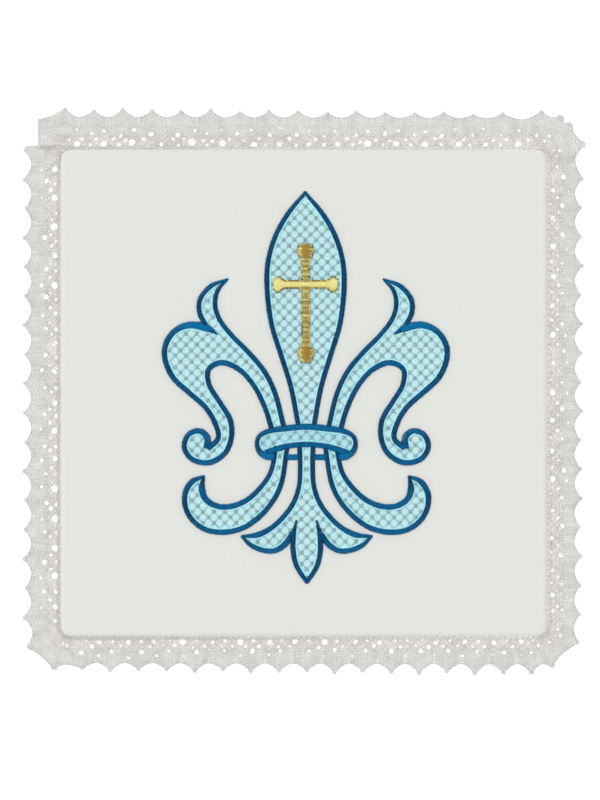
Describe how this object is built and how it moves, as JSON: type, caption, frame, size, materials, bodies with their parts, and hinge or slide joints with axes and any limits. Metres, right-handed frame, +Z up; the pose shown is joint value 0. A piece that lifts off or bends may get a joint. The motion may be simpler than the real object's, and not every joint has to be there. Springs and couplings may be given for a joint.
{
  "type": "chalice pall",
  "caption": "Stiff square of white linen with a scalloped crochet lace edging and an embroidered blue fleur-de-lis that holds a gold cross.",
  "frame": {"origin": "middle of the underside, on the surface that the pall lies on", "axes": "+Z up out of the embroidered face, +Y towards the top of the motif, +X to its right seen from above"},
  "size_m": [0.1728, 0.1734, 0.004],
  "materials": {
    "linen": "matt plain weave, off-white",
    "lace": "matt cotton crochet",
    "blue_thread": "glossy satin stitch, dark blue rayon",
    "gold_thread": "metallic satin stitch, gold"
  },
  "bodies": {
    "root": {"linen_panel": "linen", "lace_edging": "lace", "blue_satin_outline": "blue_thread", "gold_satin_cross": "gold_thread"}
  },
  "joints": []
}
